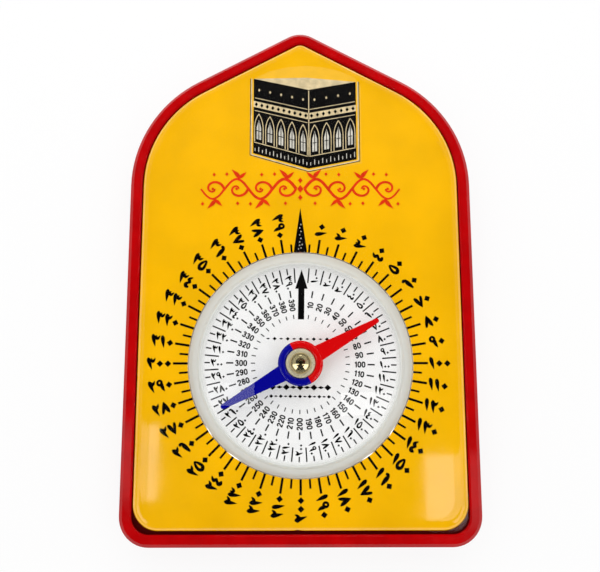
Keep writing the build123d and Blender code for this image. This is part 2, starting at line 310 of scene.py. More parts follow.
class Nodes:
    """Short ways to build one node tree."""

    def __init__(self, tree):
        self.tree = tree

    def add(self, kind, **settings):
        made = self.tree.nodes.new(kind)
        for name, value in settings.items():
            setattr(made, name, value)
        return made

    def link(self, source, target):
        self.tree.links.new(source, target)

    def plug(self, values, sockets):
        """Links each socket to its value, or sets it."""
        for value, socket in zip(values, sockets):
            if isinstance(value, bpy.types.NodeSocket):
                self.link(value, socket)
            else:
                socket.default_value = value

    def calc(self, operation, *values):
        """A sum on linked values and numbers."""
        step = self.add("ShaderNodeMath", operation=operation)
        self.plug(values, step.inputs)
        return step.outputs[0]

    def dot(self, first, second):
        product = self.add("ShaderNodeVectorMath", operation="DOT_PRODUCT")
        self.plug((first, second), product.inputs)
        return product.outputs["Value"]

    def axes(self, vector):
        """The x, y and z of a vector."""
        split = self.add("ShaderNodeSeparateXYZ")
        self.link(vector, split.inputs[0])
        return [split.outputs[name] for name in "XYZ"]

    def span(self, source, low, high, start=0.33, end=0.67, change="LINEAR"):
        """A value between start and end, by default a noise's middle third, spread from low to high."""
        spread = self.add("ShaderNodeMapRange", interpolation_type=change)
        limits = {"From Min": start, "From Max": end, "To Min": low, "To Max": high}
        for socket, value in limits.items():
            spread.inputs[socket].default_value = value
        self.link(source, spread.inputs["Value"])
        return spread.outputs["Result"]

    def mix(self, share, first, second):
        """A mix of two numbers by share."""
        made = self.add("ShaderNodeMix")
        self.plug((share, first, second), (made.inputs[0], made.inputs[2], made.inputs[3]))
        return made.outputs[0]

    def blend(self, share, first, second):
        """A mix of two colours by share."""
        made = self.add("ShaderNodeMix", data_type="RGBA")
        self.plug((share, first, second), (made.inputs[0], made.inputs[6], made.inputs[7]))
        return made.outputs[2]


class Finish(Nodes):
    """A procedural material round one Principled shader, in the part's own coordinates."""

    def __init__(self, name, **values):
        self.material = bpy.data.materials.new(name)
        self.material.use_nodes = True
        super().__init__(self.material.node_tree)
        self.shader = self.tree.nodes["Principled BSDF"]
        self.where = self.add("ShaderNodeTexCoord").outputs["Object"]
        for socket, value in values.items():
            self.shader.inputs[socket.replace("_", " ")].default_value = value

    def feed(self, source, socket):
        """Links a value to one of the shader's sockets."""
        self.link(source, self.shader.inputs[socket])

    def noise(self, grain, detail=3.0, stretch=(1, 1, 1)):
        """A noise whose patches are about grain millimetres wide."""
        texture = self.add("ShaderNodeTexNoise")
        texture.inputs["Scale"].default_value = 1 / (grain * MM)
        texture.inputs["Detail"].default_value = detail
        if stretch == (1, 1, 1):
            self.link(self.where, texture.inputs["Vector"])
        else:
            mapping = self.add("ShaderNodeMapping")
            mapping.inputs["Scale"].default_value = stretch
            self.link(self.where, mapping.inputs["Vector"])
            self.link(mapping.outputs["Vector"], texture.inputs["Vector"])
        return texture.outputs["Fac"]

    def shades(self, colour, grain, low, high, detail=3.0):
        """Uneven colour: shades of it between low and high times its strength."""
        share = self.span(self.noise(grain, detail), 0.0, 1.0)
        shade = self.blend(share, tinted(colour, low), tinted(colour, high))
        self.feed(shade, "Base Color")
        return shade

    def radius(self):
        """Distance from the needle's axis."""
        flat = self.add("ShaderNodeVectorMath", operation="MULTIPLY")
        self.plug((self.where, (1, 1, 0)), flat.inputs)
        length = self.add("ShaderNodeVectorMath", operation="LENGTH")
        self.link(flat.outputs["Vector"], length.inputs[0])
        return length.outputs["Value"]

    def gloss(self, grain, low, high):
        self.feed(self.span(self.noise(grain), low, high), "Roughness")

    def relief(self, height, depth, strength=1.0):
        """A bump that is depth millimetres from low to high."""
        bump = self.add("ShaderNodeBump")
        bump.inputs["Strength"].default_value = strength
        bump.inputs["Distance"].default_value = depth * MM
        self.link(height, bump.inputs["Height"])
        self.feed(bump.outputs["Normal"], "Normal")

    def wear(self, name):
        """Gives a CAD node this finish."""
        materials = node(name).data.materials
        materials.clear()
        materials.append(self.material)


def tinted(colour, strength):
    return tuple(min(1.0, part * strength) for part in colour[:3]) + (1.0,)


def ink_finish(name, colour, low=0.75, high=1.3):
    """Printing ink: slightly uneven, dull, with a faint tooth."""
    ink = Finish(name, IOR=1.48, Specular_IOR_Level=0.02)
    ink.shades(colour, grain=1.2, low=low, high=high)
    ink.gloss(grain=0.5, low=0.42, high=0.62)
    ink.relief(ink.noise(grain=0.15), depth=0.002, strength=0.5)
    return ink.material


def new_piece(name, mesh, finish, body="case"):
    """Links a mesh as a piece that rides on a body."""
    mesh.materials.append(finish)
    piece = bpy.data.objects.new(name, mesh)
    bpy.context.scene.collection.objects.link(piece)
    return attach(piece, body)


def curve_through(points, closed):
    """A smooth line through points of x, y and pen width."""
    knots = [Vector(point) for point in points]
    count = len(knots)
    if count < 3:
        return knots
    line = []
    for i in range(count if closed else count - 1):
        b, c = knots[i], knots[(i + 1) % count]
        a = knots[i - 1] if closed or i > 0 else 2 * b - c
        d = knots[(i + 2) % count] if closed or i + 2 < count else 2 * c - b
        for step in range(CURVE_STEPS):
            t = step / CURVE_STEPS
            bend = (2 * a - 5 * b + 4 * c - d) * t**2 + (3 * b - a - 3 * c + d) * t**3
            line.append((2 * b + (c - a) * t + bend) / 2)
    if not closed:
        line.append(knots[-1])
    return line


def ribbon_sides(line, closed):
    """Left and right edges of a pen stroke."""
    left, right = [], []
    count = len(line)
    for i, point in enumerate(line):
        before = line[i - 1] if closed or i > 0 else point
        after = line[(i + 1) % count] if closed or i + 1 < count else point
        along = (after.xy - before.xy).normalized()
        half = Vector((-along.y, along.x)) * max(point.z, LEAST_PEN) / 2
        left.append(point.xy + half)
        right.append(point.xy - half)
    return left, right


class InkSheet:
    """Flat printed shapes gathered into one thin closed mesh that lies on a sheet."""

    def __init__(self, base, layer=0):
        thickness = sizes().ink_thickness
        self.mesh = bmesh.new()
        self.levels = (base + layer * thickness, base + (layer + 1) * thickness)

    def raise_points(self, points, place):
        flat = [place @ Vector((x, y, 0)) for x, y in points]
        return [[self.mesh.verts.new((p.x, p.y, z)) for p in flat] for z in self.levels]

    def patch(self, outline, place=UPRIGHT):
        """A filled shape inside an outline."""
        low, high = self.raise_points(outline, place)
        self.mesh.faces.new(high)
        self.mesh.faces.new(low[::-1])
        for i in range(len(low)):
            j = (i + 1) % len(low)
            self.mesh.faces.new((low[i], low[j], high[j], high[i]))

    def lozenge(self, x, y, half_width, half_height, place=UPRIGHT):
        corners = ((half_width, 0), (0, half_height), (-half_width, 0), (0, -half_height))
        self.patch([(x + dx, y + dy) for dx, dy in corners], place)

    def stroke(self, points, place=UPRIGHT, closed=False):
        """A pen stroke through points of x, y and pen width."""
        left, right = ribbon_sides(curve_through(points, closed), closed)
        left_low, left_high = self.raise_points(left, place)
        right_low, right_high = self.raise_points(right, place)
        count = len(left)
        for i in range(count if closed else count - 1):
            j = (i + 1) % count
            self.mesh.faces.new((right_high[i], right_high[j], left_high[j], left_high[i]))
            self.mesh.faces.new((left_low[i], left_low[j], right_low[j], right_low[i]))
            self.mesh.faces.new((left_high[i], left_high[j], left_low[j], left_low[i]))
            self.mesh.faces.new((right_low[i], right_low[j], right_high[j], right_high[i]))
        if not closed:
            self.mesh.faces.new((left_low[0], right_low[0], right_high[0], left_high[0]))
            self.mesh.faces.new((left_high[-1], right_high[-1], right_low[-1], left_low[-1]))

    def piece(self, name, finish, body="case"):
        bmesh.ops.recalc_face_normals(self.mesh, faces=self.mesh.faces[:])
        mesh = bpy.data.meshes.new(name)
        self.mesh.to_mesh(mesh)
        self.mesh.free()
        return new_piece(name, mesh, finish, body)


def radial_place(bearing, radius, scale=1.0, inward=False, turn=0.0):
    """Where a print stands at a bearing in 400ths: its x runs out along the radius, or in."""
    angle = 2 * math.pi * bearing / CIRCLE + turn
    outward = Vector((math.sin(angle), math.cos(angle), 0))
    along = -outward if inward else outward
    turned = Matrix(((along.x, -along.y, 0), (along.y, along.x, 0), (0, 0, 1))).to_4x4()
    return Matrix.Translation(outward * radius * MM) @ turned @ Matrix.Scale(scale * MM, 4)


def lay_marks(sheet, rows, turn=0.0):
    """Straight marks of a scale. The place at zero is left for the arrow."""
    for step, first, inner, outer, width in rows:
        half = width / 2
        for bearing in range(first, CIRCLE, step):
            place = radial_place(bearing, 0, turn=turn)
            sheet.patch([(inner, -half), (outer, -half), (outer, half), (inner, half)], place)


def ring_numbers(digits, zero_width, gap, height):
    """Each number of a ring as its bearing, its text, its length in mm and whether it reads inwards."""
    for number in range(NUMBER_STEP, LAST_NUMBER + 1, NUMBER_STEP):
        text = str(number)
        widths = [digits[digit][0] if digit in digits else zero_width for digit in text]
        length = (sum(widths) + gap * (len(text) - 1)) * height
        yield number, text, length, number >= HALF_CIRCLE


def lay_eastern_number(sheet, text, place, pen, zero, gap):
    """A number in eastern digits. Zero is a lozenge of so much half width, at a height."""
    x = 0.0
    half, height = zero
    for digit in text:
        if digit == "0":
            sheet.lozenge(x + half, height - DIGIT_MIDDLE, half, half, place)
            x += 2 * half + gap
            continue
        width, strokes = EASTERN[digit]
        for closed, *points in strokes:
            line = [(x + px, py - DIGIT_MIDDLE, pw * pen) for px, py, pw in points]
            sheet.stroke(line, place, closed)
        x += width + gap


def lay_western_number(sheet, text, place, pen, gap):
    """A number in western digits of one pen width."""
    x = 0.0
    for digit in text:
        width, strokes = WESTERN[digit]
        for closed, *points in strokes:
            line = [(x + px, py - DIGIT_MIDDLE, pen) for px, py in points]
            sheet.stroke(line, place, closed)
        x += width + gap


def arched_ring(inset, corner_radius, height, foot_gap=0.0, roof_gap=0.0):
    """Points round the case outline moved in by inset, in metres, as many at every inset."""
    half = HALF_WIDTH - inset
    foot = FOOT + inset + foot_gap
    crown = APEX + APEX_RADIUS * (1 / math.cos(ROOF_ANGLE) - 1)
    ridge = crown - (inset + roof_gap) / math.cos(ROOF_ANGLE)
    eaves = ridge - half * math.tan(ROOF_ANGLE)
    corners = ((-half, foot), (half, foot), (half, eaves), (0, ridge), (-half, eaves))
    corners = [Vector(corner) for corner in corners]
    shoulder, apex = SHOULDER_RADIUS - inset, APEX_RADIUS - inset
    radii = (corner_radius, corner_radius, shoulder, apex, shoulder)
    arcs = []
    for i, (corner, radius) in enumerate(zip(corners, radii)):
        come = (corner - corners[i - 1]).normalized()
        leave = (corners[(i + 1) % len(corners)] - corner).normalized()
        turn = math.atan2(come.cross(leave), come.dot(leave))
        start = corner - come * radius * math.tan(turn / 2)
        centre = start + Vector((-come.y, come.x)) * radius
        spokes = [Matrix.Rotation(turn * k / ARC_STEPS, 2) for k in range(ARC_STEPS + 1)]
        arcs.append([centre + spoke @ (start - centre) for spoke in spokes])
    ring = []
    for i, arc in enumerate(arcs):
        ring += arc
        run_start, run_end = arc[-1], arcs[(i + 1) % len(arcs)][0]
        ring += [run_start.lerp(run_end, k / RUN_STEPS) for k in range(1, RUN_STEPS)]
    return [Vector((p.x * MM, p.y * MM, height * MM)) for p in ring]


def port_ring(radius, height, outline):
    """Points round the dial opening, each on the same bearing as the outline's point."""
    return [Vector((*(p.xy.normalized() * radius * MM), height * MM)) for p in outline]


def loft(name, rings):
    """A closed mesh through rings of as many points each, the last joined to the first."""
    made = bmesh.new()
    loops = [[made.verts.new(point) for point in ring] for ring in rings]
    for this, after in zip(loops, loops[1:] + loops[:1]):
        for i in range(len(this)):
            j = (i + 1) % len(this)
            made.faces.new((this[i], this[j], after[j], after[i]))
    return smooth_mesh(name, made)


def lathe(name, profile, sides):
    """A closed mesh turned about the needle's axis from a half section in millimetres."""
    made = bmesh.new()
    loops = []
    for radius, height in profile:
        count = sides if radius > 0 else 1
        angles = [2 * math.pi * k / sides for k in range(count)]
        ring = [(radius * math.cos(a) * MM, radius * math.sin(a) * MM, height * MM) for a in angles]
        loops.append([made.verts.new(point) for point in ring])
    for this, after in zip(loops, loops[1:] + loops[:1]):
        if len(this) == len(after) == 1:
            continue
        for k in range(sides):
            n = (k + 1) % sides
            near = [this[k % len(this)], this[n % len(this)]]
            far = [after[n % len(after)], after[k % len(after)]]
            made.faces.new(list(dict.fromkeys(near + far)))
    return smooth_mesh(name, made)


def smooth_mesh(name, made):
    bmesh.ops.recalc_face_normals(made, faces=made.faces[:])
    mesh = bpy.data.meshes.new(name)
    made.to_mesh(mesh)
    made.free()
    mesh.shade_smooth()
    mesh.set_sharp_from_angle(angle=SHARP_ANGLE)
    return mesh


def rounded(corners, radius, steps=5):
    """A half section with its inner corners rounded and a point on the straight beside each arc."""
    line = [Vector(corners[0])]
    for before, corner, after in zip(corners, corners[1:], corners[2:]):
        corner = Vector(corner)
        come = (corner - Vector(before)).normalized()
        leave = (Vector(after) - corner).normalized()
        reach = radius * abs(math.tan(come.angle(leave) / 2))
        start, end = corner - come * reach, corner + leave * reach
        line.append(start - come * LEAD)
        for k in range(steps + 1):
            t = k / steps
            line.append(start.lerp(corner, t).lerp(corner.lerp(end, t), t))
        line.append(end + leave * LEAD)
    return line + [Vector(corners[-1])]


class COMPASS_OT_tray(bpy.types.Operator):
    """Give the tray its moulded red plastic, darkened in the groove round the cover as painted shade"""

    bl_idname = "compass.tray"
    bl_label = "Tray"

    OUTER_REACH = 8.5  # a face whose plane is this far from the origin lies outside the groove, in mm
    # Painted shade in the groove round the cover: the height where it is deepest, and the distances over
    # which it fades
    GROOVE_HEIGHT, GROOVE_FADE = 6.2, (1.0, 1.7)  # in mm
    # The dark colour painted in the groove as shade
    GRIME = (0.07, 0.001, 0.001, 1)

    def execute(self, context):
        plastic = Finish("tray_red_plastic", IOR=1.5, Specular_IOR_Level=0.14)
        red = plastic.shades(colours().tray, grain=3.5, low=0.88, high=1.08)
        # Painted shade: the red is blended toward a dark colour deep in the groove round the cover
        plastic.feed(plastic.blend(self.groove(plastic), self.GRIME, red), "Base Color")
        plastic.gloss(grain=1.5, low=0.06, high=0.12)
        plastic.relief(plastic.noise(grain=0.25), depth=0.004, strength=0.25)
        plastic.wear("base_tray")
        return {"FINISHED"}

    def groove(self, plastic):
        """Mask of the painted shade: zero deep in the groove round the cover, where the red is darkened as
        shade, one on the rim and on the outside.
        """
        normal = plastic.add("ShaderNodeNewGeometry").outputs["Normal"]
        facing = plastic.dot(normal, plastic.where)
        outside = plastic.calc("GREATER_THAN", facing, self.OUTER_REACH * MM)
        height = plastic.axes(plastic.where)[2]
        off = plastic.calc("ABSOLUTE", plastic.calc("SUBTRACT", height, self.GROOVE_HEIGHT * MM))
        start, end = (fade * MM for fade in self.GROOVE_FADE)
        return plastic.calc("MAXIMUM", outside, plastic.span(off, 0.0, 1.0, start, end))


class COMPASS_OT_card(bpy.types.Operator):
    """Give the card its yellow ground, its scale, its digits and the spire at its head"""

    bl_idname = "compass.card"
    bl_label = "Card"

    FIRST_DIGIT, SHORT_START = 21.9, 22.3  # radius where three digits start, and fewer, in mm
    # Digits: times the pen's width, then the zero's half width and height and the gap as shares of one
    PEN, ZERO, GAP = 1.35, (0.28, 0.48), 0.12
    SPIRE_BASE, SPIRE_FOOT, SPIRE_TIP = 1.2, 18.95, 27.1
    # Specks in the spire: rows, their start and pitch, then the margin, room and pitch along a row, in mm
    SPECK_ROWS, SPECK_START, SPECK_RISE = 8, 0.8, 0.62
    SPECK_MARGIN, SPECK_ROOM, SPECK_PITCH = 0.42, 0.24, 0.44
    SPECK_SWAY, SPECK_STEP, SPECK = 0.1, 0.16, (0.11, 0.14)

    def execute(self, context):
        paper = Finish("card_yellow_paper", IOR=1.45, Specular_IOR_Level=0.01)
        paper.shades(colours().card, grain=9.0, low=0.93, high=1.05, detail=5.0)
        paper.gloss(grain=2.0, low=0.40, high=0.55)
        tooth = paper.noise(grain=0.2, detail=4.0, stretch=(1.0, 0.35, 1.0))
        paper.relief(tooth, depth=0.003, strength=0.5)
        paper.wear("face_card")
        black = ink_finish("card_black_ink", colours().black_ink)
        marks = InkSheet(CARD_TOP)
        lay_marks(marks, CARD_MARKS)
        marks.piece("card_marks", black)
        self.digits(black)
        self.spire(black)
        return {"FINISHED"}

    def digits(self, black):
        sheet = InkSheet(CARD_TOP)
        height = sizes().card_digit / MM
        for number, text, length, inward in ring_numbers(EASTERN, 2 * self.ZERO[0], self.GAP, height):
            start = self.FIRST_DIGIT if len(text) > 2 else self.SHORT_START
            radius = start + length if inward else start
            place = radial_place(number, radius, height, inward)
            lay_eastern_number(sheet, text, place, self.PEN, self.ZERO, self.GAP)
        sheet.piece("card_digits", black)

    def spire(self, black):
        sheet = InkSheet(CARD_TOP)
        base, foot, tip = self.SPIRE_BASE, self.SPIRE_FOOT, self.SPIRE_TIP
        sheet.patch([(-base, foot), (base, foot), (0, tip)])
        sheet.piece("card_spire", black)
        specks = InkSheet(CARD_TOP, 1)
        for row in range(self.SPECK_ROWS):
            y = foot + self.SPECK_START + row * self.SPECK_RISE
            reach = base * (tip - y) / (tip - foot) - self.SPECK_MARGIN
            count = max(1, int(reach / self.SPECK_ROOM))
            sway = self.SPECK_SWAY if row % 2 else -self.SPECK_SWAY
            for k in range(count):
                x = (k - (count - 1) / 2) * self.SPECK_PITCH + sway
                specks.lozenge(x, y + (self.SPECK_STEP if k % 2 else 0), *self.SPECK)
        specks.piece("card_spire_specks", ink_finish("card_pale_ink", colours().pale_ink))


class COMPASS_OT_scroll(bpy.types.Operator):
    """Print the red scroll of leaves and tendrils between the picture and the scale"""

    bl_idname = "compass.scroll"
    bl_label = "Scroll"

    MIDDLE, WAVE, SWING, WAVES, START = 30.5, 8.4, 1.8, 4, 0.7
    STEM_POINTS, STEM_PEN, STEM_THINNING = 4, 0.56, 0.24
    CURL_POINTS, CURL_TURN, CURL_SQUASH = 15, math.pi / 7, 0.95
    CURL_REACH, CURL_DECAY, CURL_EYE = 1.9, 0.15, 0.12
    CURL_PEN, CURL_THINNING, CURL_BUD = 0.46, 0.014, 0.28
    # Leaves on a crest: x from the curl's middle, y beyond the crest, and pen width
    LEAF = ((-0.5, 0.0, 0.06), (-0.1, 0.75, 0.74), (0.9, 1.75, 0.04))
    BACK_LEAF = ((-0.2, 0.0, 0.06), (-0.9, 0.55, 0.6), (-1.7, 1.3, 0.04))
    BUD, BUD_BESIDE, BUD_ACROSS = (0.3, 0.36), (1.75, 0.9), (-0.2, 1.45)
    # Lozenges up the middle: y and half width, and how much taller than wide they are
    SPINE, SPINE_SHAPE = ((0, 0.55), (1.55, 0.4), (-1.55, 0.4)), 1.3

    def execute(self, context):
        stems, curls, leaves, buds = (InkSheet(CARD_TOP, layer) for layer in range(4))
        lift = Matrix.Translation((0, self.MIDDLE * MM, 0))
        for side in (-1, 1):
            place = lift @ Matrix.Diagonal((side * MM, MM, MM, 1))
            self.stem(stems, place)
            for half_wave in range(self.WAVES):
                self.tendril(curls, leaves, buds, place, half_wave)
        for y, width in self.SPINE:
            buds.lozenge(0, self.MIDDLE + y, width, width * self.SPINE_SHAPE)
        red = ink_finish("card_red_ink", colours().red_ink, low=0.85, high=1.15)
        for name, sheet in (("stems", stems), ("curls", curls), ("leaves", leaves), ("buds", buds)):
            sheet.piece(f"scroll_{name}", red)
        return {"FINISHED"}

    def stem(self, sheet, place):
        points = []
        last = self.WAVES * self.STEM_POINTS
        for k in range(last + 1):
            x = k * self.WAVE / (2 * self.STEM_POINTS)
            swing = self.SWING * math.sin(2 * math.pi * x / self.WAVE)
            points.append((x + self.START, swing, self.STEM_PEN - self.STEM_THINNING * k / last))
        sheet.stroke(points, place)

    def tendril(self, curls, leaves, buds, place, half_wave):
        """A curl in the hollow of the wave, with leaves outside its crest."""
        up = 1 if half_wave % 2 == 0 else -1
        centre = self.START + self.WAVE * (half_wave + 0.5) / 2
        crest = self.SWING * up
        points = []
        for k in range(self.CURL_POINTS):
            angle = math.pi + k * self.CURL_TURN
            reach = self.CURL_REACH * math.exp(-self.CURL_DECAY * k) + self.CURL_EYE
            x, y = reach * math.cos(angle), up * reach * math.sin(angle) * self.CURL_SQUASH
            points.append((centre + x, y, self.CURL_PEN - self.CURL_THINNING * k))
        curls.stroke(points, place)
        buds.lozenge(centre, 0, self.CURL_BUD, self.CURL_BUD, place)
        for sheet, leaf in ((leaves, self.LEAF), (buds, self.BACK_LEAF)):
            sheet.stroke([(centre + x, crest + y * up, pen) for x, y, pen in leaf], place)
        (beside, rise), (across, drop) = self.BUD_BESIDE, self.BUD_ACROSS
        leaves.lozenge(centre + beside, crest + rise * up, *self.BUD, place)
        leaves.lozenge(centre + across, -crest * drop, *self.BUD, place)


class COMPASS_OT_picture(bpy.types.Operator):
    """Print the picture at the head of the card: a plain dark cube with a band and an arcade"""

    bl_idname = "compass.picture"
    bl_label = "Picture"

    # Wall edges as x, bottom and top in mm: the far left, the near corner and the far right
    LEFT, NEAR, RIGHT = (-8.35, 37.05, 51.0), (1.5, 34.2, 48.9), (10.0, 35.9, 50.4)
    BACK = (1.2, 51.2)
    ARCHES = {"left": 5, "right": 4}
    # Heights on a wall are shares of its height, and pens and lozenges are in mm
    BAND, BAND_LOZENGE = (0.62, 0.70), (0.30, 0.40)
    COURSES, COURSE_ENDS = ((0.745, 0.12), (0.575, 0.12), (0.15, 0.14)), (0.02, 0.98)
    STUD_HEIGHT, STUD = 0.86, (0.2, 0.3)
    CORNER_LINE, CORNER_PEN = ((0.004, 0.15), (0.004, 0.99)), 0.16
    # An arch's half: shares of the way to its middle, and heights
    ARCH, ARCH_MARGIN, ARCH_PEN = ((0, 0.16), (0, 0.37), (0.35, 0.47), (1, 0.54)), 0.12, 0.14
    WINDOW, WINDOW_HALF = ((-1, 0.2), (1, 0.2), (1, 0.36), (0, 0.46), (-1, 0.36)), 0.2
    FRINGE, FRINGE_FOOT, FRINGE_TOPS, FRINGE_PEN = 3, 0.035, (0.075, 0.10), 0.13
    MULLION, CROSSBAR, CROSSBAR_HALF, BAR_PEN = (0.2, 0.44), 0.31, 0.04, 0.14
    # The border's lines: margin and pen, and how far its lower corners drop for their margin
    LIGHT_BORDER, DARK_BORDER, BORDER_DROP = (0.38, 0.2), (0.56, 0.10), 0.6
    # The paler ground's outline
    HALO = (
        (-9.1, 36.5), (1.5, 33.3), (10.9, 35.2), (10.9, 49.6), (9.8, 51.2), (7.4, 52.4),
        (4.2, 53.2), (1.0, 53.5), (-2.4, 53.2), (-5.6, 52.4), (-8.0, 51.2), (-9.1, 49.6),
    )

    def walls(self):
        return {"left": (self.LEFT, self.NEAR), "right": (self.NEAR, self.RIGHT)}

    @staticmethod
    def on_wall(wall, along, up):
        """A point on a wall by its shares along and up."""
        first, last = wall
        x, bottom, top = (a + (b - a) * along for a, b in zip(first, last))
        return x, bottom + (top - bottom) * up

    def line(self, sheet, wall, start, end, pen):
        sheet.stroke([(*self.on_wall(wall, *start), pen), (*self.on_wall(wall, *end), pen)])

    def execute(self, context):
        cream = ink_finish("picture_cream_ink", colours().cream_ink, low=0.85, high=1.2)
        pale = ink_finish("picture_pale_ink", colours().pale_ink, low=0.8, high=1.2)
        dark = ink_finish("picture_black_ink", colours().black_ink)
        halo = InkSheet(CARD_TOP)
        halo.patch(self.HALO)
        halo.piece("picture_halo", ink_finish("picture_halo_ink", colours().halo_ink, low=0.97, high=1.03))
        ground = InkSheet(CARD_TOP, 1)
        for wall in self.walls().values():
            ground.patch([self.on_wall(wall, *corner) for corner in ((0, 0), (1, 0), (1, 1), (0, 1))])
        ground.piece("picture_walls", dark)
        roof = InkSheet(CARD_TOP, 1)
        roof.patch([self.LEFT[::2], self.NEAR[::2], self.RIGHT[::2], self.BACK])
        roof.piece("picture_roof", cream)
        self.light_lines(cream)
        self.windows(pale)
        self.dark_lines(dark)
        return {"FINISHED"}

    def light_lines(self, cream):
        """The band, the thin courses, the arches and a border."""
        sheet = InkSheet(CARD_TOP, 2)
        low, high = self.BAND
        start, end = self.COURSE_ENDS
        for name, wall in self.walls().items():
            band = ((0, low), (1, low), (1, high), (0, high))
            sheet.patch([self.on_wall(wall, *corner) for corner in band])
            for up, pen in self.COURSES:
                self.line(sheet, wall, (start, up), (end, up), pen)
            arches = self.ARCHES[name]
            for k in range(arches):
                first, last = k + self.ARCH_MARGIN, k + 1 - self.ARCH_MARGIN
                self.arch(sheet, wall, first / arches, last / arches)
                stud = self.on_wall(wall, (k + 0.5) / arches, self.STUD_HEIGHT)
                sheet.lozenge(*stud, *self.STUD)
        self.line(sheet, self.walls()["right"], *self.CORNER_LINE, self.CORNER_PEN)
        self.border(sheet, *self.LIGHT_BORDER)
        sheet.piece("picture_lines", cream)

    def arch(self, sheet, wall, start, end):
        half = (end - start) / 2
        for foot, way in ((start, half), (end, -half)):
            points = [self.on_wall(wall, foot + way * share, up) for share, up in self.ARCH]
            sheet.stroke([(*point, self.ARCH_PEN) for point in points])

    def windows(self, pale):
        """A pale lancet in each arch and a row of short strokes along the foot."""
        sheet = InkSheet(CARD_TOP, 2)
        for name, wall in self.walls().items():
            arches = self.ARCHES[name]
            half = self.WINDOW_HALF / arches
            for k in range(arches):
                middle = (k + 0.5) / arches
                sheet.patch([self.on_wall(wall, middle + side * half, up) for side, up in self.WINDOW])
            count = arches * self.FRINGE
            for k in range(count):
                at = (k + 0.5) / count
                top = self.FRINGE_TOPS[k % 2]
                self.line(sheet, wall, (at, self.FRINGE_FOOT), (at, top), self.FRINGE_PEN)
        sheet.piece("picture_windows", pale)

    def dark_lines(self, dark):
        """Lozenges on the band, bars in the windows and the border's outer line."""
        sheet = InkSheet(CARD_TOP, 3)
        foot, head = self.MULLION
        half, bar = self.CROSSBAR_HALF, self.CROSSBAR
        for name, wall in self.walls().items():
            arches = self.ARCHES[name]
            count = arches * 2
            for k in range(count):
                spot = self.on_wall(wall, (k + 0.5) / count, sum(self.BAND) / 2)
                sheet.lozenge(*spot, *self.BAND_LOZENGE)
            for k in range(arches):
                middle = (k + 0.5) / arches
                self.line(sheet, wall, (middle, foot), (middle, head), self.BAR_PEN)
                self.line(sheet, wall, (middle - half, bar), (middle + half, bar), self.BAR_PEN)
        self.border(sheet, *self.DARK_BORDER)
        sheet.piece("picture_dark_lines", dark)

    def border(self, sheet, margin, pen):
        """A line down the sides and under the picture, margin outside it."""
        left, left_foot, left_top = self.LEFT
        near, near_foot, _ = self.NEAR
        right, right_foot, right_top = self.RIGHT
        drop = margin * self.BORDER_DROP
        corners = [
            (left - margin, left_top), (left - margin, left_foot - drop), (near, near_foot - margin),
            (right + margin, right_foot - drop), (right + margin, right_top),
        ]
        for start, end in zip(corners, corners[1:]):
            sheet.stroke([(*start, pen), (*end, pen)])


class COMPASS_OT_capsule(bpy.types.Operator):
    """Give the cup, the dial's paper and the mounting tape their finishes"""

    bl_idname = "compass.capsule"
    bl_label = "Capsule"

    FOAM = (0.16, 0.16, 0.165)

    def execute(self, context):
        satin = Finish("cup_white_plastic", IOR=1.5, Specular_IOR_Level=0.3)
        satin.shades(colours().white, grain=4.0, low=0.96, high=1.02)
        satin.gloss(grain=1.2, low=0.32, high=0.45)
        satin.relief(satin.noise(grain=0.3), depth=0.003, strength=0.3)
        satin.wear("capsule_cup")
        paper = Finish("dial_white_paper", IOR=1.45, Specular_IOR_Level=0.2)
        paper.shades(colours().white, grain=2.5, low=0.985, high=1.03, detail=5.0)
        paper.gloss(grain=1.0, low=0.45, high=0.6)
        paper.relief(paper.noise(grain=0.18, detail=4.0), depth=0.002, strength=0.4)
        paper.wear("dial_disc")
        foam = Finish("tape_grey_foam", IOR=1.4)
        foam.shades(self.FOAM, grain=0.5, low=0.7, high=1.3)
        foam.gloss(grain=0.5, low=0.75, high=0.95)
        foam.relief(foam.noise(grain=0.3, detail=5.0), depth=0.03, strength=0.8)
        foam.wear("capsule_tape")
        return {"FINISHED"}


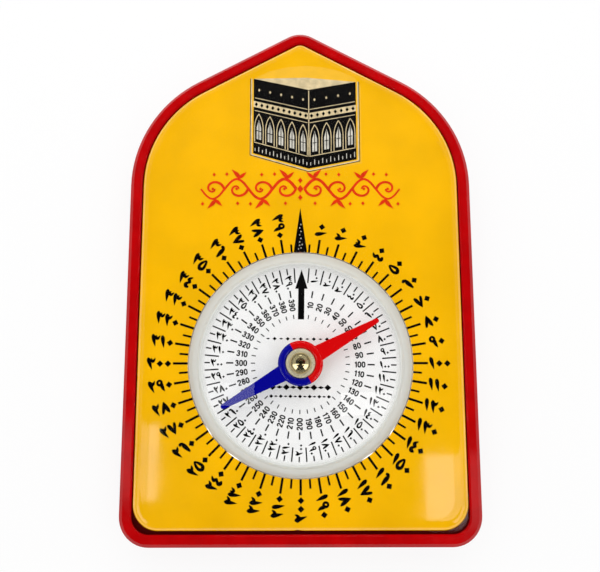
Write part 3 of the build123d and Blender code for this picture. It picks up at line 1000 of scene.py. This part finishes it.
class COMPASS_OT_dial(bpy.types.Operator):
    """Print the dial: marks, two rings of numbers, the arrow and small ornaments"""

    bl_idname = "compass.dial"
    bl_label = "Dial"

    OUTER_END, INNER_MIDDLE = 15.0, 9.95  # radius where digits end, and of the numbers' middle, in mm
    # Digits: times the pen's width, then the zero's half width and height and the gap as shares of one
    PEN, ZERO, GAP = 1.1, (0.17, 0.28), 0.12
    NUMBER_PEN, NUMBER_GAP = 0.215, 0.09  # shares of a number's height
    ARROW = (
        (-0.52, 7.45), (0.52, 7.45), (0.52, 12.7), (1.06, 12.7), (0, 16.0), (-1.06, 12.7), (-0.52, 12.7),
    )
    # Rows of lozenges: y, pitch, count each side of the middle, and half width
    ROWS = ((4.15, 1.1, 5, 0.30), (-3.9, 1.15, 4, 0.50), (-5.4, 0.8, 6, 0.30))
    ROW_WIDTH, ROW_FLAT = 1.15, 0.5  # shares of the half width

    def execute(self, context):
        black = ink_finish("dial_black_ink", colours().black_ink)
        turn = sizes().dial_turn
        marks = InkSheet(DIAL_TOP)
        lay_marks(marks, DIAL_MARKS, turn)
        marks.piece("dial_marks", black)
        self.outer_ring(black, turn)
        self.inner_ring(black, turn)
        place = Matrix.Rotation(-turn, 4, "Z") @ UPRIGHT
        arrow = InkSheet(DIAL_TOP)
        arrow.patch(self.ARROW, place)
        arrow.piece("dial_arrow", black)
        self.ornaments(black, place)
        return {"FINISHED"}

    def outer_ring(self, black, turn):
        sheet = InkSheet(DIAL_TOP)
        height = sizes().dial_digit / MM
        for number, text, length, inward in ring_numbers(EASTERN, 2 * self.ZERO[0], self.GAP, height):
            radius = self.OUTER_END if inward else self.OUTER_END - length
            place = radial_place(number, radius, height, inward, turn)
            lay_eastern_number(sheet, text, place, self.PEN, self.ZERO, self.GAP)
        sheet.piece("dial_outer_digits", black)

    def inner_ring(self, black, turn):
        sheet = InkSheet(DIAL_TOP)
        height = sizes().dial_number / MM
        for number, text, length, inward in ring_numbers(WESTERN, 0.0, self.NUMBER_GAP, height):
            radius = self.INNER_MIDDLE + (length / 2 if inward else -length / 2)
            place = radial_place(number, radius, height, inward, turn)
            lay_western_number(sheet, text, place, self.NUMBER_PEN, self.NUMBER_GAP)
        sheet.piece("dial_inner_numbers", black)

    def ornaments(self, black, place):
        """Rows of lozenges above and below the hub."""
        sheet = InkSheet(DIAL_TOP)
        for y, pitch, reach, half in self.ROWS:
            for k in range(-reach, reach + 1):
                rise = half if k % 2 == 0 else half * self.ROW_FLAT
                sheet.lozenge(k * pitch, y, half * self.ROW_WIDTH, rise, place)
        sheet.piece("dial_ornaments", black)


class COMPASS_OT_needle(bpy.types.Operator):
    """Paint the needle and finish its collar, cap and pin"""

    bl_idname = "compass.needle"
    bl_label = "Needle"

    # The raised eye's section as radius and height above the strip, from its outside in, in mm
    BEAD = (
        (3.58, 0.0), (3.54, 0.05), (3.46, 0.12), (3.34, 0.15),
        (2.86, 0.15), (2.74, 0.13), (2.66, 0.07), (2.6, 0.0),
    )
    TIP_STEPS, SIDE_STEPS, EYE_STEPS = 12, 14, 20
    CAP_STEPS, CAP_SIDES = 14, 72
    WAVE_SCALE, WAVE_WANDER = 0.05, 0.4
    STEEL = (0.58, 0.57, 0.56)

    def execute(self, context):
        paint = Finish(
            "needle_red_and_blue_paint", IOR=1.5, Specular_IOR_Level=0.02,
            Coat_Weight=1.0, Coat_Roughness=0.05)
        south, north = tuple(colours().south), tuple(colours().north)
        paint.feed(paint.blend(self.split(paint), south, north), "Base Color")
        paint.gloss(grain=0.8, low=0.14, high=0.24)
        paint.relief(paint.noise(grain=0.4), depth=0.002, strength=0.3)
        needle = new_piece("painted_needle", self.needle_mesh(), paint.material, "needle")
        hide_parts("needle")
        brass = Finish("collar_turned_brass", Metallic=0.3)
        brass.shades(colours().brass, grain=0.6, low=0.85, high=1.08)
        brass.gloss(grain=0.3, low=0.26, high=0.42)
        brass.relief(self.turning(brass, pitch=0.12), depth=0.004, strength=0.5)
        brass.wear("needle_collar")
        plating = Finish("cap_polished_plating", Metallic=1.0)
        plating.shades(colours().plating, grain=0.9, low=0.94, high=1.05)
        plating.gloss(grain=0.6, low=0.04, high=0.08)
        cap = new_piece("polished_cap", self.cap_mesh(), plating.material, "needle")
        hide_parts("needle_cap")
        steel = Finish("pin_ground_steel", Metallic=1.0)
        steel.shades(self.STEEL, grain=0.5, low=0.9, high=1.1)
        steel.gloss(grain=0.3, low=0.2, high=0.35)
        steel.wear("pivot_pin")
        return {"FINISHED"}

    def split(self, paint):
        """One on the north side of the hub and zero on the south."""
        heading = (math.sin(NEEDLE_HEADING), math.cos(NEEDLE_HEADING), 0)
        return paint.calc("GREATER_THAN", paint.dot(paint.where, heading), 0.0)

    def half_plan(self):
        """The needle's edge from its north tip round to its south tip, with x along the north arm."""
        tip_centre = ARM_LENGTH - ARM_TIP
        lean = math.asin((ARM_ROOT - ARM_TIP) / tip_centre)
        edge = []
        for k in range(self.TIP_STEPS + 1):
            angle = (math.pi / 2 - lean) * k / self.TIP_STEPS
            edge.append(Vector((tip_centre + ARM_TIP * math.cos(angle), ARM_TIP * math.sin(angle))))
        side = Vector((-math.cos(lean), math.sin(lean)))
        start = edge[-1]
        spread = start.dot(side)
        run = math.sqrt(EYE_RADIUS**2 - ARM_ROOT**2)
        reach = -spread - run
        edge += [start + side * reach * k / self.SIDE_STEPS for k in range(1, self.SIDE_STEPS + 1)]
        first = math.atan2(edge[-1].y, edge[-1].x)
        last = math.pi - first
        arc = [first + (last - first) * k / self.EYE_STEPS for k in range(1, self.EYE_STEPS)]
        mirrored = [Vector((-p.x, p.y)) for p in reversed(edge)]
        return edge + [Vector((EYE_RADIUS * math.cos(a), EYE_RADIUS * math.sin(a))) for a in arc] + mirrored

    def needle_mesh(self):
        """The strip with its raised eye, as rings of points from the edge in to the hole."""
        half = self.half_plan()
        plan = half + [Vector((p.x, -p.y)) for p in reversed(half[1:-1])]
        turn = Matrix.Rotation(math.pi / 2 - NEEDLE_HEADING, 2)
        plan = [turn @ p for p in plan]
        step = sizes().needle_edge / MM
        inner = []
        for i, point in enumerate(plan):
            along = (plan[(i + 1) % len(plan)] - plan[i - 1]).normalized()
            inner.append(point + Vector((-along.y, along.x)) * step)
        rings = [(plan, NEEDLE_FOOT), (plan, NEEDLE_TOP - step), (inner, NEEDLE_TOP)]
        rings = [[Vector((p.x * MM, p.y * MM, z * MM)) for p in ring] for ring, z in rings]
        for radius, rise in self.BEAD:
            rings.append(port_ring(radius, NEEDLE_TOP + rise, rings[0]))
        rings.append(port_ring(EYE_HOLE, NEEDLE_TOP - step, rings[0]))
        rings.append(port_ring(EYE_HOLE, NEEDLE_FOOT, rings[0]))
        return loft("painted_needle", rings)

    def cap_mesh(self):
        """The cap with its conical bearing, its short wall and its polished dome."""
        apex, rim = CAP_TOP - CAP_CROWN, CAP_TOP - CAP_DOME
        sphere = (CAP_RADIUS**2 + CAP_DOME**2) / (2 * CAP_DOME)
        lean = math.asin(CAP_RADIUS / sphere)
        profile = [(0, apex), (CAP_BORE, apex - CAP_BORE), (CAP_BORE, CAP_FOOT), (CAP_RADIUS, CAP_FOOT)]
        profile.append((CAP_RADIUS, rim))
        for k in range(1, self.CAP_STEPS):
            angle = lean * (1 - k / self.CAP_STEPS)
            profile.append((sphere * math.sin(angle), CAP_TOP - sphere * (1 - math.cos(angle))))
        return lathe("polished_cap", profile + [(0, CAP_TOP)], self.CAP_SIDES)

    def turning(self, metal, pitch):
        """Fine rings left by the turning tool."""
        wave = metal.add("ShaderNodeTexWave", wave_type="RINGS", rings_direction="Z")
        wave.inputs["Scale"].default_value = self.WAVE_SCALE / (pitch * MM)
        wave.inputs["Distortion"].default_value = self.WAVE_WANDER
        metal.link(metal.where, wave.inputs["Vector"])
        return wave.outputs["Fac"]


class COMPASS_OT_clear(bpy.types.Operator):
    """Make the clear cover and the domed crystal with smooth edges"""

    bl_idname = "compass.clear"
    bl_label = "Clear parts"

    SATIN = (15.8, 16.8)  # from this radius to this one the polish fades, in mm
    ROUGHNESS, CLARITY = (0.01, 0.35), (1.0, 0.72)  # inside and outside those radii
    COVER_TINT, CRYSTAL_TINT = (1.0, 0.99, 0.97, 1), (1.0, 1.0, 1.0, 1)
    MILKY = (0.81, 0.825, 0.785, 1)
    SWELL, SWELL_DEPTH = 0.9, 1.1  # how much fuller, and how far below the crown it ends, in mm
    FLAT_START = 0.15  # a ring this far in from the rounded edge keeps the top's shading flat, in mm
    FOOT_GAP, DOME_LEAD, DOME_STEPS = 0.03, 1.0, 12

    def execute(self, context):
        cover_plastic = self.plastic("cover_clear_plastic", self.COVER_TINT)
        cover_plastic.gloss(grain=6.0, low=0.04, high=0.07)
        cover_plastic.relief(cover_plastic.noise(grain=14.0, detail=2.0), depth=0.01, strength=0.25)
        cover = new_piece("clear_cover", self.cover_mesh(), cover_plastic.material)
        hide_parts("cover_plate")
        crystal_plastic = self.plastic("crystal_clear_plastic", self.CRYSTAL_TINT)
        self.satin_shoulder(crystal_plastic)
        self.swell(crystal_plastic)
        crystal = new_piece("clear_crystal", self.crystal_mesh(), crystal_plastic.material)
        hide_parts("crystal")
        for piece in (cover, crystal):
            piece.visible_shadow = False
            piece.visible_diffuse = False
        return {"FINISHED"}

    def plastic(self, name, colour):
        return Finish(name, IOR=1.49, Transmission_Weight=1.0, Base_Color=colour)

    def satin_shoulder(self, clear):
        """Polished over the dial and slightly milky on the bevel and the skirt."""
        radius = clear.radius()
        start, end = (reach * MM for reach in self.SATIN)
        for limits, socket in ((self.ROUGHNESS, "Roughness"), (self.CLARITY, "Transmission Weight")):
            clear.feed(clear.span(radius, *limits, start, end), socket)
        share = clear.span(radius, 0.0, 1.0, start, end)
        clear.feed(clear.blend(share, self.CRYSTAL_TINT, self.MILKY), "Base Color")

    def swell(self, clear):
        """Bends the shine over the dial as a slightly fuller dome would."""
        share = clear.calc("DIVIDE", clear.radius(), self.SATIN[0] * MM)
        bowl = clear.calc("SUBTRACT", 1.0, clear.calc("MULTIPLY", share, share))
        height = clear.axes(clear.where)[2]
        outside = clear.calc("GREATER_THAN", height, (CRYSTAL_TOP - self.SWELL_DEPTH) * MM)
        rise = clear.calc("MULTIPLY", clear.calc("MAXIMUM", bowl, 0.0), outside)
        clear.relief(rise, self.SWELL)

    def cover_mesh(self):
        edge = sizes().cover_edge / MM
        gaps = (sizes().cover_foot_gap / MM, sizes().cover_roof_gap / MM)
        ceiling = CARD_TOP / MM + sizes().cover_lift / MM
        flat = COVER_INSET + edge + self.FLAT_START
        rings = [arched_ring(flat, COVER_CORNER - edge - self.FLAT_START, COVER_TOP, *gaps)]
        for k in range(EDGE_STEPS + 1):
            angle = math.pi / 2 * k / EDGE_STEPS
            inset = COVER_INSET + edge * (1 - math.sin(angle))
            corner = COVER_CORNER - (inset - COVER_INSET)
            rings.append(arched_ring(inset, corner, COVER_TOP - edge * (1 - math.cos(angle)), *gaps))
        rings.append(arched_ring(COVER_INSET, COVER_CORNER, FLANGE_TOP, *gaps))
        for height in (FLANGE_TOP, COVER_FOOT):
            rings.append(arched_ring(FLANGE_INSET, FLANGE_CORNER, height))
        for height in (COVER_FOOT, ceiling):
            rings.append(arched_ring(RECESS_INSET, RECESS_CORNER, height))
        for height in (ceiling, COVER_TOP - PORT_BEVEL):
            rings.append(port_ring(PORT_RADIUS, height, rings[0]))
        rings.append(port_ring(PORT_RADIUS + PORT_BEVEL, COVER_TOP, rings[0]))
        return loft("clear_cover", rings)

    def crystal_mesh(self):
        dome_radius = CRYSTAL_RADIUS - BEVEL_WIDTH
        dome_rim = CRYSTAL_TOP - DOME_RISE
        ceiling = CRYSTAL_TOP - CRYSTAL_THICKNESS
        foot = CRYSTAL_FOOT + self.FOOT_GAP
        edge = sizes().crystal_edge / MM
        sphere = (dome_radius**2 + DOME_RISE**2) / (2 * DOME_RISE)
        inner_dome = dome_radius - self.DOME_LEAD
        flat_radius = dome_radius - BEVEL_STEP
        inner_drop = (CRYSTAL_BORE - flat_radius) * BEVEL_DROP / BEVEL_WIDTH

        def on_dome(radius):
            return Vector((radius, CRYSTAL_TOP - sphere + math.sqrt(sphere**2 - radius**2)))

        shoulder = [
            (CRYSTAL_RADIUS, foot), (CRYSTAL_RADIUS, dome_rim - BEVEL_DROP), (dome_radius, dome_rim),
            on_dome(inner_dome),
        ]
        outer = rounded(shoulder, edge)
        outer += [on_dome(inner_dome * (1 - k / self.DOME_STEPS)) for k in range(1, self.DOME_STEPS)]
        outer.append(Vector((0, CRYSTAL_TOP)))
        inner = [
            (0, ceiling), (flat_radius, ceiling),
            (CRYSTAL_BORE, ceiling - inner_drop), (CRYSTAL_BORE, foot),
        ]
        return lathe("clear_crystal", outer + rounded(inner, edge), CRYSTAL_SIDES)


class COMPASS_OT_stage(bpy.types.Operator):
    """Set the pale floor, the soft room, the panes, the lamp and the camera over the dial"""

    bl_idname = "compass.stage"
    bl_label = "Stage"

    CAMERA_PLACE = (-0.42, -2.84, 118.96)  # in mm
    CAMERA_TURN = (8.245, -0.17, -0.071)  # in degrees
    LENS, SENSOR, CLIP_START = 39.0, 36.0, 5.0
    FLOOR_HALF, FLOOR_DROP, FLOOR_CELLS = 3000.0, 0.05, 8
    FLOOR_COLOUR = (0.88, 0.88, 0.88)
    FLOOR_GLOW = 0.85  # share of the floor's look that is plain white
    SOFT_LIGHT, SLANT = 0.88, 0.15
    # What shiny parts mirror: the room's walls and its ceiling, on its near side and its far side
    NEAR_WALL, FAR_WALL, NEAR_CEILING, FAR_CEILING = 2.4, 0.4, 0.008, 0.07
    # Where the room changes, by a direction's x, y and z, how dim the gap and the walls' foot are, and how
    # bright the horizon is
    WALL_TURN, CEILING_TURN = (-0.3, 0.0), (0.15, 0.5)
    GAP_SLOPE, GAP_EDGE, GAP_DIM = 0.7, (-0.02, 0.04), 0.002
    WALL_FOOT, FOOT_DIM = (0.28, 0.46), 0.08
    HORIZON_EDGE, HORIZON = (0.1, 0.3), 0.5
    CEILING_SLOPE, CEILING_EDGE = 0.1, (0.74, 0.82)
    # Where each pane shows on the cover: x, y, width and height in mm, then its brightness
    PANES = (
        (-44.6, -16.0, 42.8, 12.0, 1.9),
        (42.1, -20.8, 43.8, 11.8, 1.9),
        (0.0, 184.0, 60.0, 70.0, 1.2),
    )
    PANE_REACH = 3.0
    # The soft lamp over the head of the case: its place, what it faces and its size, in mm
    LAMP_PLACE, LAMP_AIM, LAMP_SIZE = (0.0, 120.0, 150.0), (0.0, 30.0, 0.0), 160.0
    LAMP_BRIGHTNESS = 1.14

    def execute(self, context):
        scene = context.scene
        scene.view_settings.view_transform = "Standard"
        self.floor(scene)
        self.room(scene)
        self.camera(scene)
        for k, pane in enumerate(self.PANES):
            self.pane(scene, f"pane_{k}", *pane)
        self.lamp(scene)
        return {"FINISHED"}

    def camera(self, scene):
        lens = bpy.data.cameras.new("camera_over_dial")
        lens.lens = self.LENS
        lens.sensor_width = self.SENSOR
        lens.clip_start = self.CLIP_START * MM
        camera = bpy.data.objects.new("camera_over_dial", lens)
        camera.location = Vector(self.CAMERA_PLACE) * MM
        camera.rotation_euler = [math.radians(turn) for turn in self.CAMERA_TURN]
        scene.collection.objects.link(camera)
        scene.camera = camera

    def floor(self, scene):
        """A pale floor that keeps the shadow and looks near white."""
        sheet = bmesh.new()
        cells = self.FLOOR_CELLS
        bmesh.ops.create_grid(sheet, x_segments=cells, y_segments=cells, size=self.FLOOR_HALF * MM)
        mesh = bpy.data.meshes.new("floor")
        sheet.to_mesh(mesh)
        sheet.free()
        floor = bpy.data.objects.new("floor", mesh)
        floor.location.z = -self.FLOOR_DROP * MM
        scene.collection.objects.link(floor)
        pale = Finish("floor_pale_sheet", Roughness=0.9)
        pale.shades(self.FLOOR_COLOUR, grain=400.0, low=0.99, high=1.0)
        glow = pale.add("ShaderNodeEmission")
        rays = pale.add("ShaderNodeLightPath").outputs
        seen = pale.calc("MAXIMUM", rays["Is Camera Ray"], rays["Is Glossy Ray"])
        seen = pale.calc("MAXIMUM", seen, rays["Is Transmission Ray"])
        share = pale.calc("MULTIPLY", seen, self.FLOOR_GLOW)
        mix = pale.add("ShaderNodeMixShader")
        pale.plug((share, pale.shader.outputs[0], glow.outputs[0]), mix.inputs)
        pale.link(mix.outputs[0], pale.tree.nodes["Material Output"].inputs["Surface"])
        mesh.materials.append(pale.material)

    def room(self, scene):
        """Even soft light, a white background, and a room for shiny parts to mirror."""
        scene.world = bpy.data.worlds.new("soft_room")
        scene.world.use_nodes = True
        room = Nodes(scene.world.node_tree)
        sky = room.tree.nodes["Background"]
        sky.inputs["Color"].default_value = (1.0, 1.0, 1.0, 1.0)
        rays = room.add("ShaderNodeLightPath").outputs
        x, y, z = room.axes(room.add("ShaderNodeTexCoord").outputs["Generated"])
        soft = room.calc("MULTIPLY_ADD", y, self.SLANT * self.SOFT_LIGHT, self.SOFT_LIGHT)
        light = room.mix(rays["Is Glossy Ray"], soft, self.mirrored_room(room, x, y, z))
        room.link(room.mix(rays["Is Camera Ray"], light, 1.0), sky.inputs["Strength"])

    def mirrored_room(self, room, x, y, z):
        """Bright walls with a dark gap, a dim foot and a pale horizon, and a dark ceiling."""

        def ramp(value, edge, first, last):
            return room.span(value, first, last, *edge, "SMOOTHSTEP")

        walls = ramp(y, self.WALL_TURN, self.NEAR_WALL, self.FAR_WALL)
        across = room.calc("MULTIPLY_ADD", y, self.GAP_SLOPE, room.calc("ABSOLUTE", x))
        gap = ramp(across, self.GAP_EDGE, self.GAP_DIM, 1.0)
        foot = ramp(z, self.WALL_FOOT, self.FOOT_DIM, 1.0)
        walls = room.calc("MULTIPLY", walls, room.calc("MULTIPLY", gap, foot))
        walls = room.calc("MAXIMUM", walls, ramp(z, self.HORIZON_EDGE, self.HORIZON, 0.0))
        height = room.calc("MULTIPLY_ADD", y, self.CEILING_SLOPE, z)
        ceiling = ramp(y, self.CEILING_TURN, self.NEAR_CEILING, self.FAR_CEILING)
        return room.mix(ramp(height, self.CEILING_EDGE, 0.0, 1.0), walls, ceiling)

    def pane(self, scene, name, x, y, width, height, brightness):
        """A bright pane placed so that it shows at a spot on the cover."""
        spot = Vector((x, y, COVER_TOP)) * MM
        way = spot - Vector(self.CAMERA_PLACE) * MM
        way.z = -way.z
        size = (1 + self.PANE_REACH) * MM
        lamp = bpy.data.lights.new(name, "AREA")
        lamp.shape = "RECTANGLE"
        lamp.size, lamp.size_y = width * size, height * size
        lamp.energy = brightness * math.pi * lamp.size * lamp.size_y
        pane = bpy.data.objects.new(name, lamp)
        pane.location = spot + way * self.PANE_REACH
        pane.visible_camera = False
        scene.collection.objects.link(pane)

    def lamp(self, scene):
        """A soft lamp, out of sight of shiny parts, that lights the head of the case a little more."""
        soft = bpy.data.lights.new("head_lamp", "AREA")
        soft.size = self.LAMP_SIZE * MM
        soft.energy = self.LAMP_BRIGHTNESS * math.pi * soft.size**2
        lamp = bpy.data.objects.new("head_lamp", soft)
        place, aim = Vector(self.LAMP_PLACE) * MM, Vector(self.LAMP_AIM) * MM
        lamp.location = place
        lamp.rotation_euler = (aim - place).to_track_quat("-Z", "Y").to_euler()
        lamp.visible_camera = lamp.visible_glossy = lamp.visible_transmission = False
        scene.collection.objects.link(lamp)


class COMPASS_PT_build(bpy.types.Panel):
    """Lists the compass's settings and its building steps"""

    bl_idname = "COMPASS_PT_build"
    bl_label = "Compass"
    bl_space_type = "VIEW_3D"
    bl_region_type = "UI"
    bl_category = "Compass"

    def draw(self, context):
        for group in (context.scene.compass_sizes, context.scene.compass_colours):
            column = self.layout.column()
            for name in group.__annotations__:
                column.prop(group, name)
        for step in STEPS:
            self.layout.operator(step.bl_idname)


STEPS = (
    COMPASS_OT_tray,
    COMPASS_OT_card,
    COMPASS_OT_scroll,
    COMPASS_OT_picture,
    COMPASS_OT_capsule,
    COMPASS_OT_dial,
    COMPASS_OT_needle,
    COMPASS_OT_clear,
    COMPASS_OT_stage,
)
CLASSES = (CompassSizes, CompassColours, *STEPS, COMPASS_PT_build)


def register():
    for kind in CLASSES:
        bpy.utils.register_class(kind)
    bpy.types.Scene.compass_sizes = PointerProperty(type=CompassSizes)
    bpy.types.Scene.compass_colours = PointerProperty(type=CompassColours)


def unregister():
    del bpy.types.Scene.compass_colours
    del bpy.types.Scene.compass_sizes
    for kind in reversed(CLASSES):
        bpy.utils.unregister_class(kind)


def main():
    register()
    bpy.ops.compass.tray()
    bpy.ops.compass.card()
    bpy.ops.compass.scroll()
    bpy.ops.compass.picture()
    bpy.ops.compass.capsule()
    bpy.ops.compass.dial()
    bpy.ops.compass.needle()
    bpy.ops.compass.clear()
    bpy.ops.compass.stage()


if __name__ == "__main__":
    main()
